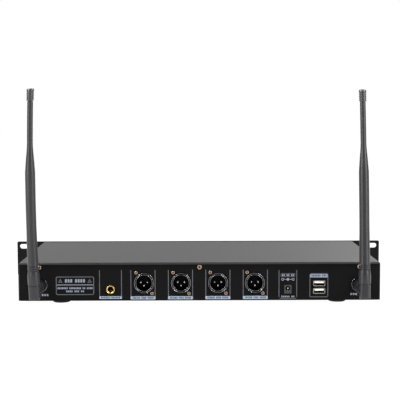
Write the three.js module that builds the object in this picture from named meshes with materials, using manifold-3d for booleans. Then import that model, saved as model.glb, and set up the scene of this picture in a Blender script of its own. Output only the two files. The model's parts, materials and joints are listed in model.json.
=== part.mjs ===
// A four-channel wireless microphone receiver in a one-unit rack case: a folded
// steel tray and cover behind an eared front panel, with two folding whip
// antennas on bayonet jacks and a row of sockets across the back.
//
// Millimetres, +Z up. The front panel faces -Y and the sockets face +Y. The
// origin is the middle of the unit's whole footprint, on the surface it stands
// on. Inside the "unit" group, y = 0 is the outside of the rear wall and z = 0
// is the underside of the tray.
import * as THREE from "three";
import { mergeVertices } from "three/addons/utils/BufferGeometryUtils.js";
import Module from "manifold-3d";

const wasm = await Module();
wasm.setup();

// Driving dimensions
const GAP = 0.3; // clearance between neighbouring pieces
const RACK = { width: 482.6, height: 44.45, holeSpan: 465.1, holePitch: 31.75, slotLength: 11, slotHeight: 6.4 };
const BODY = { width: 414, height: 44.1, depth: 200, bend: 2.6 };
const SHEET = 1.2; // tray and the cover's top
const SIDE = 1.5; // the cover's side walls
const PANEL = 4; // front panel thickness
const LIP = 2.3; // height of the cover's folded rear edge
const FLANGE = { side: 14, front: 5 }; // heights of the tray's upturned edges
const FOOT = { height: 5, radius: 10.7, x: 160.7, inset: 25 };

const CHANNELS = { count: 4, pitch: 76, middle: 10 };
const WINDOW = { length: 300, height: 17, z: 30, corner: 3 };
const KNOB = { radius: 7, reach: 14, stem: 2, x: 14, z: 11.5 };
const SELECT = { radius: 2.5, reach: 1.5, x: -14, z: 11.5 };
const POWER = { x: -180, z: 22, width: 14.4, height: 8.4, reach: 3.5 };

const XLR = { pitch: 42.3, z: 20.2, radius: 11.7, bore: 9.1, reach: 1, depth: 16, screwX: 9, screwZ: 12 };
const PIN = { radius: 1.2, spread: 3.9, upper: 0.5, lower: -3.4, tip: -1.6 };
const PHONE = { x: 101.7, z: 13.1, bore: 3.2, barrel: 4, nut: 4.95, reach: 2.4, depth: 27 };
const DC = { x: -101.1, z: 12.6, width: 8.6, height: 10, depth: 13, bore: 2.9, pin: 1, reach: 0.6 };
const USB = { x: -136.9, z: 15, width: 15.4, height: 15.8, depth: 17, reach: 0.5 };
const PORT = { offset: 4.4, width: 12.6, height: 5.2, depth: 12, tongue: 2, back: 3 };
const COVER_SCREW = { x: 183, z: 38.4, head: 2.8, shank: 1.5 };

const JACK = { x: 181.9, z: 18, barrel: 4.8, bore: 3.3, nut: 7.9, reach: 14 };
const COLLAR = { outer: 7.2, inner: 5.9, neck: 4.6, from: 5, to: 21 };
const HINGE = { reach: 44, width: 12, depth: 13, corner: 3.4, tongue: 8, half: 5, round: 5.4, pin: 1.5 };
const HOOD = { slot: 8.6, below: 8.5, crotch: 6.4, step: 7.1, neck: 6.8 }; // the whip's foot, round the tongue
const LEAN = { a: 2.2, b: -0.2 }; // degrees that each antenna stands off upright, towards +X
const TILT = { a: 0, b: 6 }; // degrees that each whip tips forwards on its hinge
const BOW = { a: 0.000181, b: -0.000042 }; // curve of each rubber whip, per square millimetre of height

const TOP_SHEET = BODY.height - SHEET; // underside of the cover's top
const INNER = BODY.width / 2 - SIDE; // inside of the cover's side walls
const BACK_OF_PANEL = -BODY.depth;
const FRONT = BACK_OF_PANEL - PANEL; // front face of the panel
const BOARD = { thickness: 1.6, mainZ: 6, frontY: BACK_OF_PANEL + 9.1 };

// Materials
function finish(color, roughness, metalness) {
  return new THREE.MeshStandardMaterial({ color, roughness, metalness });
}
const black = finish(0x1d1d1f, 0.55, 0.3);
const cover = finish(0x2a2a2c, 0.5, 0.3);
const rubber = finish(0x39393b, 0.75, 0);
const plastic = finish(0x141414, 0.5, 0);
const nickel = finish(0xc4bcae, 0.3, 1);
const gold = finish(0xc9a24a, 0.3, 1);
const smoke = finish(0x0c1014, 0.08, 0);
const board = finish(0x1f4a2c, 0.6, 0);

// Solids
function solid(geometry) {
  geometry.deleteAttribute("normal");
  geometry.deleteAttribute("uv");
  const merged = mergeVertices(geometry);
  const index = merged.index.array;
  const triVerts = [];
  for (let i = 0; i < index.length; i += 3) {
    const [a, b, c] = [index[i], index[i + 1], index[i + 2]];
    if (a !== b && b !== c && c !== a) triVerts.push(a, b, c);
  }
  const vertProperties = new Float32Array(merged.attributes.position.array);
  const mesh = new wasm.Mesh({ numProp: 3, vertProperties, triVerts: new Uint32Array(triVerts) });
  return new wasm.Manifold(mesh);
}

function box(low, high) {
  const size = high.map((value, i) => value - low[i]);
  const middle = high.map((value, i) => (value + low[i]) / 2);
  return solid(new THREE.BoxGeometry(...size).translate(...middle));
}

// Facets round a circle, fewer on the small ones
function facets(radius) {
  if (radius < 2.5) return 8;
  return radius < 9 ? 12 : 20;
}

// A profile of [radius, y] points turned about the Y axis
function turned(profile, segments = facets(Math.max(...profile.map(([radius]) => radius)))) {
  const points = profile.map(([radius, y]) => new THREE.Vector2(radius, y));
  return solid(new THREE.LatheGeometry(points, segments));
}

// The same profile turned about the Z axis
function turnedUpright(profile) {
  return turned(profile).rotate([90, 0, 0]);
}

// A rod along Y between two heights of y
function rod(radius, low, high, segments = facets(radius)) {
  return turned([[0, low], [radius, low], [radius, high], [0, high]], segments);
}

function uprightRod(radius, low, high) {
  return rod(radius, low, high).rotate([90, 0, 0]);
}

function crossRod(radius, length) {
  return rod(radius, -length / 2, length / 2).rotate([0, 0, 90]);
}

function roundedOutline(width, height, corner) {
  const [x, y] = [width / 2, height / 2];
  const shape = new THREE.Shape();
  shape.moveTo(corner - x, -y);
  shape.absarc(x - corner, corner - y, corner, -Math.PI / 2, 0);
  shape.absarc(x - corner, y - corner, corner, 0, Math.PI / 2);
  shape.absarc(corner - x, y - corner, corner, Math.PI / 2, Math.PI);
  shape.absarc(corner - x, corner - y, corner, Math.PI, Math.PI * 1.5);
  return shape;
}

// An outline in X and Z, thickened from one y to another
function plate(shape, low, high, segments = 2) {
  const settings = { depth: high - low, bevelEnabled: false, curveSegments: segments };
  return solid(new THREE.ExtrudeGeometry(shape, settings).rotateX(Math.PI / 2).translate(0, high, 0));
}

function slab(width, height, corner, low, high) {
  return plate(roundedOutline(width, height, corner), low, high);
}

function at(piece, x, z) {
  return piece.translate([x, 0, z]);
}

function joined(pieces) {
  return pieces.reduce((whole, piece) => whole.add(piece));
}

function cut(piece, tools) {
  return tools.reduce((rest, tool) => rest.subtract(tool), piece);
}

function named(name, piece, material) {
  const { vertProperties, triVerts } = piece.getMesh();
  const geometry = new THREE.BufferGeometry();
  geometry.setAttribute("position", new THREE.BufferAttribute(vertProperties, 3));
  geometry.setIndex(new THREE.BufferAttribute(triVerts, 1));
  geometry.computeVertexNormals();
  const mesh = new THREE.Mesh(geometry, material);
  mesh.name = name;
  return mesh;
}

// Places that several pieces share
const sockets = [-1.5, -0.5, 0.5, 1.5].map((step) => step * XLR.pitch);
const socketScrews = sockets.flatMap((x) => [
  [x + XLR.screwX, XLR.z + XLR.screwZ],
  [x - XLR.screwX, XLR.z - XLR.screwZ],
]);
const coverScrews = [-COVER_SCREW.x, 0, COVER_SCREW.x];
const channels = Array.from({ length: CHANNELS.count }, (_, i) => {
  return CHANNELS.middle + (i - (CHANNELS.count - 1) / 2) * CHANNELS.pitch;
});

function throughRod(radius, x, z) {
  return at(rod(radius, -SHEET - 2, 2), x, z);
}

// Case
function rearCutouts() {
  const usbHole = slab(USB.width + 2 * GAP, USB.height + 2 * GAP, 0.6, -SHEET - 2, 2);
  const dcHole = slab(DC.width + 2 * GAP, DC.height + 2 * GAP, 0.6, -SHEET - 2, 2);
  return [
    ...sockets.map((x) => throughRod(XLR.radius + GAP, x, XLR.z)),
    ...socketScrews.map(([x, z]) => throughRod(1.6, x, z)),
    ...coverScrews.map((x) => throughRod(COVER_SCREW.shank + GAP, x, COVER_SCREW.z)),
    ...[-JACK.x, JACK.x].map((x) => throughRod(JACK.barrel + GAP, x, JACK.z)),
    throughRod(PHONE.barrel + GAP, PHONE.x, PHONE.z),
    at(usbHole, USB.x, USB.z),
    at(dcHole, DC.x, DC.z),
  ];
}

function controlCutouts() {
  const [low, high] = [FRONT - 1, BACK_OF_PANEL + 1];
  const windowHole = slab(WINDOW.length, WINDOW.height, WINDOW.corner, low, high);
  const powerHole = slab(POWER.width + 2 * GAP, POWER.height + 2 * GAP, 1.5, low, high);
  return [
    at(windowHole, CHANNELS.middle, WINDOW.z),
    at(powerHole, POWER.x, POWER.z),
    ...channels.map((x) => at(rod(4, low, high), x + KNOB.x, KNOB.z)),
    ...channels.map((x) => at(rod(SELECT.radius + GAP, low, high), x + SELECT.x, SELECT.z)),
  ];
}

function baseTray() {
  const half = INNER - GAP;
  const front = BACK_OF_PANEL + GAP;
  const rear = -SHEET - GAP;
  const standoffs = [];
  for (const x of [-170, 0, 170]) {
    for (const y of [-100, -34]) {
      standoffs.push(uprightRod(2.4, SHEET / 2, BOARD.mainZ - GAP).translate([x, y, 0]));
    }
  }
  return joined([
    box([-half, front, 0], [half, rear, SHEET]),
    box([-half, front, 0], [half, front + SHEET, FLANGE.front]),
    box([-half, front, 0], [SHEET - half, rear, FLANGE.side]),
    box([half - SHEET, front, 0], [half, rear, FLANGE.side]),
    ...standoffs,
  ]);
}

function rearWall() {
  const half = INNER - GAP;
  return cut(box([-half, -SHEET, 0], [half, 0, TOP_SHEET - GAP]), rearCutouts());
}

function topCover() {
  const front = BACK_OF_PANEL + GAP;
  const half = BODY.width / 2;
  const outer = roundedOutline(BODY.width, 2 * BODY.height, BODY.bend);
  const arch = cut(plate(outer, front, 0, 4), [
    box([-half - 1, front - 1, -2 * BODY.height], [half + 1, 1, 0]),
    box([-INNER, front - 1, -1], [INNER, 1, TOP_SHEET]),
  ]);
  const lipHalf = half - BODY.bend;
  const lip = joined([
    box([-lipHalf, -1, TOP_SHEET], [lipHalf, GAP + SHEET, BODY.height]),
    box([-lipHalf, GAP, BODY.height - LIP], [lipHalf, GAP + SHEET, BODY.height]),
  ]);
  const tabs = coverScrews.map((x) => {
    return box([x - 6, -2 * SHEET - GAP, 33], [x + 6, -SHEET - GAP, TOP_SHEET + SHEET / 2]);
  });
  const holes = coverScrews.map((x) => at(rod(COVER_SCREW.shank + GAP, -6, -SHEET), x, COVER_SCREW.z));
  return cut(joined([arch, lip, ...tabs]), holes);
}

// The back of the panel is slightly lower between the ears, where the case is
function frontPanel() {
  const face = at(slab(RACK.width, RACK.height, 1, FRONT, BACK_OF_PANEL), 0, RACK.height / 2);
  const slots = [-1, 1].flatMap((side) => [-1, 1].map((level) => {
    const slot = slab(RACK.slotLength, RACK.slotHeight, RACK.slotHeight / 2 - 0.01, FRONT - 1, BACK_OF_PANEL + 1);
    return at(slot, (side * RACK.holeSpan) / 2, RACK.height / 2 + (level * RACK.holePitch) / 2);
  }));
  const half = BODY.width / 2 + 1;
  const relief = box([-half, BACK_OF_PANEL - 0.25, -1], [half, BACK_OF_PANEL + 1, RACK.height + 1]);
  return cut(face, [...slots, ...controlCutouts(), relief]);
}

function foot() {
  const [height, radius] = [FOOT.height - GAP, FOOT.radius];
  const profile = [[0, 0], [radius - 1.2, 0], [radius - 0.4, 0.6], [radius, height], [0, height]];
  return turnedUpright(profile).translate([0, 0, -FOOT.height]);
}

function panHeadScrew(head, rise, shank, length) {
  const profile = [
    [0, -length], [shank, -length], [shank, GAP], [head, GAP],
    [head, GAP + rise * 0.4], [head * 0.75, GAP + rise * 0.85], [head * 0.35, GAP + rise], [0, GAP + rise],
  ];
  return turned(profile);
}

// Controls on the front
function displayWindow() {
  const [length, height] = [WINDOW.length - 2 * GAP, WINDOW.height - 2 * GAP];
  return at(slab(length, height, WINDOW.corner - GAP, FRONT, BACK_OF_PANEL), CHANNELS.middle, WINDOW.z);
}

function volumeKnob() {
  const profile = [
    [0, FRONT - KNOB.reach], [KNOB.radius - 1.4, FRONT - KNOB.reach], [KNOB.radius - 0.6, FRONT - KNOB.reach + 0.8],
    [KNOB.radius, FRONT - 0.8], [KNOB.stem, FRONT - 0.8], [KNOB.stem, BACK_OF_PANEL + 6], [0, BACK_OF_PANEL + 6],
  ];
  return turned(profile);
}

function volumePot() {
  const [low, high] = [BACK_OF_PANEL + 1.5, BOARD.frontY - GAP];
  const body = box([-5, low, -5], [5, high, 5]);
  const bushing = rod(3.4, FRONT + 1, low + 1);
  return cut(body.add(bushing), [rod(KNOB.stem + GAP, FRONT, high - 1.2)]);
}

function selectButton() {
  const flange = BACK_OF_PANEL + GAP;
  const end = BACK_OF_PANEL + 5.5;
  const profile = [
    [0, FRONT - SELECT.reach], [SELECT.radius - 0.4, FRONT - SELECT.reach], [SELECT.radius, FRONT - SELECT.reach + 0.4],
    [SELECT.radius, flange], [4, flange], [4, flange + 1], [1.2, flange + 1], [1.2, end], [0, end],
  ];
  return turned(profile);
}

function powerButton() {
  const flange = BACK_OF_PANEL + GAP;
  return joined([
    slab(POWER.width, POWER.height, 1.2, FRONT - POWER.reach, flange + 0.5),
    slab(POWER.width + 3, POWER.height + 3, 1.2, flange, flange + 1.5),
    slab(3, 3, 0.3, flange + 1, BACK_OF_PANEL + 9.5),
  ]);
}

function powerSwitch() {
  const [low, high] = [BACK_OF_PANEL + 7.5, BACK_OF_PANEL + 21.5];
  const body = slab(12, 9, 0.5, low, high);
  const tails = [-3, 3].map((x) => box([x - 0.6, high - 1, -0.4], [x + 0.6, high + 4, 0.4]));
  return cut(joined([body, ...tails]), [slab(3 + 2 * GAP, 3 + 2 * GAP, 0.3, low - 1, high - 3)]);
}

function frontBoard() {
  const [low, high] = [BOARD.frontY, BOARD.frontY + BOARD.thickness];
  const parts = [box([-146, low, 4], [166, high, 41])];
  for (const x of channels) {
    parts.push(box([x - 24, BACK_OF_PANEL + 3, WINDOW.z - 7], [x + 24, low + 0.5, WINDOW.z + 7]));
    parts.push(at(slab(6, 6, 0.4, BACK_OF_PANEL + 6.3, low + 0.5), x + SELECT.x, SELECT.z));
  }
  parts.push(box([-60, high - 0.5, 8], [-20, high + 5, 14]));
  return joined(parts);
}

// Electronics on the tray
function mainBoard() {
  const [low, high] = [BOARD.mainZ, BOARD.mainZ + BOARD.thickness];
  const parts = [box([-190, -112, low], [190, -28, high])];
  for (const x of [-118, -104, -90]) {
    parts.push(uprightRod(5, high - 0.5, high + 16).translate([x, -60, 0]));
  }
  for (const x of [-60, -20, 20, 60]) {
    parts.push(box([x - 6, -44, high - 0.5], [x + 6, -34, high + 2]));
  }
  parts.push(box([-170, -100, high - 0.5], [-146, -76, high + 12]));
  parts.push(box([112, -52, high - 0.5], [140, -40, high + 8]));
  return joined(parts);
}

function receiverShield() {
  const [low, high] = [BOARD.mainZ + BOARD.thickness + GAP, 18];
  const can = box([-70, -108, low], [150, -60, high]);
  return cut(can, [box([-69, -107, low - 1], [149, -61, high - 1])]);
}

// Sockets on the back
function xlrShell() {
  const back = -SHEET - GAP;
  const parts = [
    rod(XLR.radius, -XLR.depth, XLR.reach),
    slab(26, 31, 2, back - 2.5, back),
  ];
  const key = box([-1.4, -XLR.depth + 5, XLR.bore - 1], [1.4, XLR.reach + 1, XLR.bore + 1.2]);
  const screwHoles = [-1, 1].map((side) => at(rod(1.6, back - 4, 1), side * XLR.screwX, side * XLR.screwZ));
  return cut(joined(parts), [rod(XLR.bore, -XLR.depth - 1, XLR.reach + 1), key, ...screwHoles]);
}

function xlrInsert() {
  const back = -XLR.depth;
  const contacts = [[-PIN.spread, PIN.upper], [PIN.spread, PIN.upper], [0, PIN.lower]];
  const pins = contacts.map(([x, z]) => {
    const profile = [
      [0, back - 4], [0.8, back - 4], [0.8, back + 1], [PIN.radius, back + 1],
      [PIN.radius, PIN.tip - 1], [PIN.radius * 0.7, PIN.tip - 0.2], [0, PIN.tip],
    ];
    return at(turned(profile), x, z);
  });
  return joined([rod(XLR.bore - GAP, back, back + 4), ...pins]);
}

function phoneJack() {
  const back = -SHEET - GAP;
  const body = box([-7, -PHONE.depth, -7], [7, back, 9]);
  const barrel = rod(PHONE.barrel, back - 1, PHONE.reach);
  return cut(body.add(barrel), [rod(PHONE.bore, 2 - PHONE.depth, PHONE.reach + 1)]);
}

function phoneJackNut() {
  const profile = [
    [PHONE.barrel + GAP, GAP], [PHONE.nut, GAP], [PHONE.nut, 1.7], [PHONE.nut - 0.5, 2.2],
    [PHONE.barrel + GAP, 2.2], [PHONE.barrel + GAP, GAP],
  ];
  return turned(profile);
}

function dcJack() {
  const body = slab(DC.width, DC.height, 0.4, -DC.depth, DC.reach);
  const bored = cut(body, [at(rod(DC.bore, 3 - DC.depth, DC.reach + 1), 0, 1)]);
  return bored.add(at(rod(DC.pin, 2 - DC.depth, -1), 0, 1));
}

function usbShell() {
  const block = slab(USB.width, USB.height, 0.5, -USB.depth, USB.reach);
  const ports = [-1, 1].map((side) => {
    return at(slab(PORT.width, PORT.height, 0.3, -PORT.depth, USB.reach + 1), 0, side * PORT.offset);
  });
  const high = PORT.offset + PORT.height / 2;
  const pocket = box([-PORT.width / 2, -PORT.depth - PORT.back, -high], [PORT.width / 2, 0.5 - PORT.depth, high]);
  return cut(block, [...ports, pocket]);
}

function usbInsert() {
  const half = PORT.width / 2 - GAP;
  const high = PORT.offset + PORT.height / 2 - GAP;
  const back = box([-half, GAP - PORT.depth - PORT.back, -high], [half, -PORT.depth, high]);
  const tongues = [-1, 1].map((side) => {
    const top = side * PORT.offset + PORT.height / 2 - GAP;
    return box([0.7 - half, -PORT.depth - 1, top - PORT.tongue], [half - 0.7, -1, top]);
  });
  return joined([back, ...tongues]);
}

// Antennas
function antennaJack() {
  const back = -SHEET - GAP;
  const profile = [
    [0, -12], [3.5, -12], [3.5, back - 2.5], [6.5, back - 2.5], [6.5, back], [JACK.barrel, back],
    [JACK.barrel, GAP], [JACK.nut, GAP], [JACK.nut, 3.3], [JACK.barrel, 3.3],
    [JACK.barrel, JACK.reach], [JACK.bore, JACK.reach], [JACK.bore, 4], [0, 4],
  ];
  const lugs = crossRod(1, 2 * COLLAR.inner - 2 * GAP).translate([0, 11.5, 0]);
  const bore = rod(JACK.bore, 4, JACK.reach + 1);
  return cut(turned(profile).add(lugs), [bore]);
}

function antennaCollar() {
  const { outer, inner, neck, from, to } = COLLAR;
  const profile = [
    [inner, from], [outer - 0.4, from], [outer, from + 0.6], [outer, to - 0.8], [outer - 0.8, to],
    [neck, to], [neck, to - 3.8], [inner, to - 3.8], [inner, from],
  ];
  return turned(profile);
}

// The antenna pieces are drawn about the hinge pin, with the jack towards -Y
function antennaBase() {
  const profile = [
    [0, 6], [JACK.bore - 0.4, 6], [JACK.bore - 0.4, 14.4], [5.5, 14.4], [5.5, 16.8], [4.2, 16.8],
    [4.2, COLLAR.to + 0.4], [5.4, COLLAR.to + 0.4], [6, COLLAR.to + 1.2], [6, 30.4], [5.4, 31], [0, 31],
  ];
  const half = HINGE.tongue / 2;
  const tongue = joined([
    box([-half, 30 - HINGE.reach, -HINGE.half], [half, 0, HINGE.half]),
    crossRod(HINGE.round, HINGE.tongue),
  ]);
  const hole = crossRod(HINGE.pin + GAP, 3 * HINGE.tongue);
  return cut(turned(profile).translate([0, -HINGE.reach, 0]).add(tongue), [hole]);
}

// A squared hood round the hinge's tongue, open in front and below, under a round neck and a tapered rod
function antennaWhip(bow) {
  const outline = roundedOutline(HINGE.width, HINGE.depth, HINGE.corner);
  const settings = { depth: HOOD.below + HOOD.step, bevelEnabled: false, curveSegments: 2 };
  const hood = solid(new THREE.ExtrudeGeometry(outline, settings).translate(0, 0, -HOOD.below));
  const mast = turnedUpright([
    [0, HOOD.step - 1], [5.8, HOOD.step - 1], [6.2, HOOD.step + 0.6], [6.7, 10], [HOOD.neck, 15],
    [6.5, 20], [6, 23.2], [6, 28],
    [5.75, 58], [5.6, 72], [5.6, 92], [5.6, 112], [5.6, 131], [4.67, 143], [3.25, 159],
    [3.2, 165], [3.2, 187], [3.15, 208.9], [4.1, 209.2], [4.1, 221.4], [3.3, 222.3], [0, 222.3],
  ]);
  const half = HOOD.slot / 2;
  const rim = HINGE.round + 0.35;
  const whip = cut(hood.add(mast), [
    box([-half, -HINGE.depth, -HOOD.below - 1], [half, 0, HOOD.crotch]),
    box([-half, -1, -HOOD.below - 1], [half, rim, 0]),
    crossRod(rim, HOOD.slot),
    crossRod(HINGE.pin + GAP, 2 * HINGE.width),
  ]);
  return whip.warp((point) => {
    point[0] -= bow * Math.max(0, point[2] - 20) ** 2;
  });
}

function antennaPin() {
  return crossRod(HINGE.pin, HINGE.width - 0.6);
}

// Assembly
const unit = new THREE.Group();

function put(name, piece, material, x = 0, z = 0, y = 0) {
  const mesh = named(name, piece, material);
  mesh.position.set(x, y, z);
  unit.add(mesh);
}

put("base_tray", baseTray(), black);
put("rear_wall", rearWall(), black);
put("top_cover", topCover(), cover);
put("front_panel", frontPanel(), black);
put("display_window", displayWindow(), smoke);
put("front_board", frontBoard(), board);
put("main_board", mainBoard(), board);
put("receiver_shield", receiverShield(), nickel);
put("power_button", powerButton(), plastic, POWER.x, POWER.z);
put("power_switch", powerSwitch(), plastic, POWER.x, POWER.z);

const footRows = [-FOOT.inset, BACK_OF_PANEL + FOOT.inset];
footRows.flatMap((y) => [-FOOT.x, FOOT.x].map((x) => [x, y])).forEach(([x, y], i) => {
  put(`foot_${i + 1}`, foot(), rubber, x, 0, y);
});
coverScrews.forEach((x, i) => {
  const screw = panHeadScrew(COVER_SCREW.head, 2, COVER_SCREW.shank, 5.5);
  put(`cover_screw_${i + 1}`, screw, nickel, x, COVER_SCREW.z);
});
socketScrews.forEach(([x, z], i) => {
  put(`xlr_screw_${i + 1}`, panHeadScrew(2.4, 1.4, 1.3, 4), nickel, x, z);
});
sockets.forEach((x, i) => {
  put(`xlr_shell_${i + 1}`, xlrShell(), plastic, x, XLR.z);
  put(`xlr_insert_${i + 1}`, xlrInsert(), plastic, x, XLR.z);
});
channels.forEach((x, i) => {
  put(`volume_knob_${i + 1}`, volumeKnob(), plastic, x + KNOB.x, KNOB.z);
  put(`volume_pot_${i + 1}`, volumePot(), nickel, x + KNOB.x, KNOB.z);
  put(`select_button_${i + 1}`, selectButton(), plastic, x + SELECT.x, SELECT.z);
});
put("phone_jack", phoneJack(), plastic, PHONE.x, PHONE.z);
put("phone_jack_nut", phoneJackNut(), gold, PHONE.x, PHONE.z);
put("dc_jack", dcJack(), plastic, DC.x, DC.z);
put("usb_shell", usbShell(), nickel, USB.x, USB.z);
put("usb_insert", usbInsert(), plastic, USB.x, USB.z);

for (const [letter, side] of [["a", 1], ["b", -1]]) {
  put(`antenna_jack_${letter}`, antennaJack(), nickel, side * JACK.x, JACK.z);
  put(`antenna_collar_${letter}`, antennaCollar(), nickel, side * JACK.x, JACK.z);
  const antenna = new THREE.Group();
  antenna.position.set(side * JACK.x, HINGE.reach, JACK.z);
  antenna.rotation.y = THREE.MathUtils.degToRad(LEAN[letter]);
  antenna.add(named(`antenna_base_${letter}`, antennaBase(), plastic));
  const whip = new THREE.Group();
  whip.rotation.x = THREE.MathUtils.degToRad(TILT[letter]);
  whip.add(named(`antenna_pin_${letter}`, antennaPin(), nickel));
  whip.add(named(`antenna_whip_${letter}`, antennaWhip(BOW[letter]), rubber));
  antenna.add(whip);
  unit.add(antenna);
}

// The knob fronts and the whips' necks are equally far from the origin
const frontReach = KNOB.reach - FRONT;
const rearReach = HINGE.reach + HOOD.neck;
unit.position.set(0, (frontReach - rearReach) / 2, FOOT.height);

const receiver = new THREE.Group();
receiver.add(unit);
export default receiver;
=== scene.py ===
"""The looks of a rack-mount wireless microphone receiver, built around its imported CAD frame.

Pieces are drawn in millimetres about a local centre and placed from the frame's own boxes.
The unit's rear wall faces +Y, and the camera looks at it from behind and slightly above.
"""
import json
import math

import bmesh
import bpy
from mathutils import Matrix, Vector


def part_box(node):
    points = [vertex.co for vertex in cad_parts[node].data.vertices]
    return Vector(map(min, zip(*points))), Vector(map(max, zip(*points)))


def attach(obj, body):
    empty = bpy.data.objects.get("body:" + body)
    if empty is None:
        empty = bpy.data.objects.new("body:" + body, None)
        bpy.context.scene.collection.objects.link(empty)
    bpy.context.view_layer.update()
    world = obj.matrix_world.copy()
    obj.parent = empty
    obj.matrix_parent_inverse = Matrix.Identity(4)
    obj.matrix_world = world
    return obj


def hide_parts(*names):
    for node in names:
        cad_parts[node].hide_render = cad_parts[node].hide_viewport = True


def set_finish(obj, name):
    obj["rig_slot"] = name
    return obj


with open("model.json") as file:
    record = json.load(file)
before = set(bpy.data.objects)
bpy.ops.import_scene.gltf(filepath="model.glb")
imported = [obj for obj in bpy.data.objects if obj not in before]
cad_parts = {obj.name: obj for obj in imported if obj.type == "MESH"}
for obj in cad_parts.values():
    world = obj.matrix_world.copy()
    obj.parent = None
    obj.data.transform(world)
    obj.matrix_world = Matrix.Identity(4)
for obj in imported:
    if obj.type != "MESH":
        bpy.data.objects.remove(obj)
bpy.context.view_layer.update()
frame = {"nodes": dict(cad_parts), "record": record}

MM = 0.001
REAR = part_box("rear_wall")[1].y / MM  # outside of the rear wall
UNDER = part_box("base_tray")[0].z / MM  # underside of the tray
COVER_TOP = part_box("top_cover")[1].z / MM - UNDER
HALF_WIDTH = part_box("top_cover")[1].x / MM
PANEL_LOW, PANEL_HIGH = [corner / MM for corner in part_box("front_panel")]
SHEET = 1.2
SIDE = 1.5
CHASSIS = "chassis"


# Places
def centre(node):
    """The middle of a CAD node, in millimetres."""
    low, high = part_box(node)
    return (low + high) / 2 / MM


def on_rear(x, z, y=0.0):
    """A place on the rear wall: z is above the tray's underside and y is out of the wall."""
    return Matrix.Translation((x, REAR + y, UNDER + z))


def on_front(x, z, y=0.0):
    """A place on the front panel: y is out of the panel's face."""
    return Matrix.Translation((x, PANEL_LOW.y - y, UNDER + z))


# Outlines, as lists of (x, z)
def circle(radius, x=0.0, z=0.0, steps=56):
    turns = [2 * math.pi * i / steps for i in range(steps)]
    return [(x + radius * math.cos(a), z + radius * math.sin(a)) for a in turns]


def rounded(width, height, corner, x=0.0, z=0.0, steps=6):
    points = []
    for quarter, (side, level) in enumerate([(1, 1), (-1, 1), (-1, -1), (1, -1)]):
        cx = x + side * (width / 2 - corner)
        cz = z + level * (height / 2 - corner)
        for i in range(steps + 1):
            a = (quarter + i / steps) * math.pi / 2
            points.append((cx + corner * math.cos(a), cz + corner * math.sin(a)))
    return points


def polygon(radius, sides, x=0.0, z=0.0, turn=0.0):
    turns = [2 * math.pi * i / sides + turn for i in range(sides)]
    return [(x + radius * math.cos(a), z + radius * math.sin(a)) for a in turns]


def inset(points, distance):
    """The outline moved inwards; counterclockwise outlines shrink."""
    moved = []
    for i, point in enumerate(points):
        here = Vector(point)
        before = (here - Vector(points[i - 1])).normalized()
        after = (Vector(points[(i + 1) % len(points)]) - here).normalized()
        normal = Vector((-before.y - after.y, before.x + after.x))
        if normal.length < 1e-6:
            moved.append(point)
            continue
        normal.normalize()
        stretch = max(normal.dot(Vector((-before.y, before.x))), 0.4)
        moved.append(tuple(here + normal * distance / stretch))
    return moved


def soften(profile, radius, steps=3):
    """The profile with each inner corner turned into a short curve."""
    soft = [profile[0]]
    for before, here, after in zip(profile, profile[1:], profile[2:]):
        a, b, c = Vector(before), Vector(here), Vector(after)
        reach = min(radius, (a - b).length * 0.45, (c - b).length * 0.45)
        start, end = b + (a - b).normalized() * reach, b + (c - b).normalized() * reach
        if (start - b).length < 1e-4 or abs((b - a).normalized().dot((c - b).normalized())) > 0.995:
            soft.append(here)
            continue
        for i in range(steps + 1):
            t = i / steps
            soft.append(tuple(start * (1 - t) ** 2 + b * 2 * t * (1 - t) + end * t * t))
    return soft + [profile[-1]]


# Meshes, drawn in millimetres
def join_rings(bm, rings, closed):
    pairs = list(zip(rings, rings[1:])) + ([(rings[-1], rings[0])] if closed else [])
    for low, high in pairs:
        count = max(len(low), len(high))
        for i in range(count):
            j = (i + 1) % count
            corners = [low[i % len(low)], low[j % len(low)], high[j % len(high)], high[i % len(high)]]
            face = list(dict.fromkeys(corners))
            if len(face) > 2:
                bm.faces.new(face)


def lathe(profile, soft=0.15, segments=64, ripple=None):
    """A profile of (radius, y) turned about Y. It starts and ends on the axis, or closes on itself."""
    closed = profile[0] == profile[-1]
    points = soften(profile, soft)
    points = points[:-1] if closed else points
    bm = bmesh.new()
    rings = []
    for radius, y in points:
        if radius < 1e-6:
            rings.append([bm.verts.new((0, y, 0))])
            continue
        ring = []
        for i in range(segments):
            a = 2 * math.pi * i / segments
            r = ripple(a, radius, y) if ripple else radius
            ring.append(bm.verts.new((r * math.cos(a), y, r * math.sin(a))))
        rings.append(ring)
    join_rings(bm, rings, closed)
    return bm


def plate(outline, low, high, holes=(), bevel=0.2):
    """An (x, z) outline with holes, thickened from one y to another, with rounded edges."""
    bm = bmesh.new()
    arcs = [0, math.pi / 4, math.pi / 2] if bevel else [math.pi / 2]
    steps = [(bevel * (1 - math.sin(a)), low + bevel * (1 - math.cos(a))) for a in arcs]
    steps += [(back, high + low - y) for back, y in reversed(steps)]
    caps = ([], [])
    for points, sign in [(outline, 1)] + [(hole, -1) for hole in holes]:
        rings = []
        for back, y in steps:
            rings.append([bm.verts.new((x, y, z)) for x, z in inset(points, sign * back)])
        join_rings(bm, rings, False)
        for cap, ring in zip(caps, (rings[0], rings[-1])):
            cap += [bm.edges.get((v, ring[i - 1])) for i, v in enumerate(ring)]
    for cap in caps:
        bmesh.ops.triangle_fill(bm, edges=cap, use_beauty=True)
    return bm


def block(low, high, bevel=0.2, segments=2):
    bm = bmesh.new()
    size = Vector(high) - Vector(low)
    middle = (Vector(high) + Vector(low)) / 2
    bmesh.ops.create_cube(bm, size=1, matrix=Matrix.Translation(middle) @ Matrix.Diagonal((*size, 1)))
    if bevel:
        bmesh.ops.bevel(bm, geom=bm.edges[:], offset=bevel, segments=segments, affect="EDGES", profile=0.5)
    return bm


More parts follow.
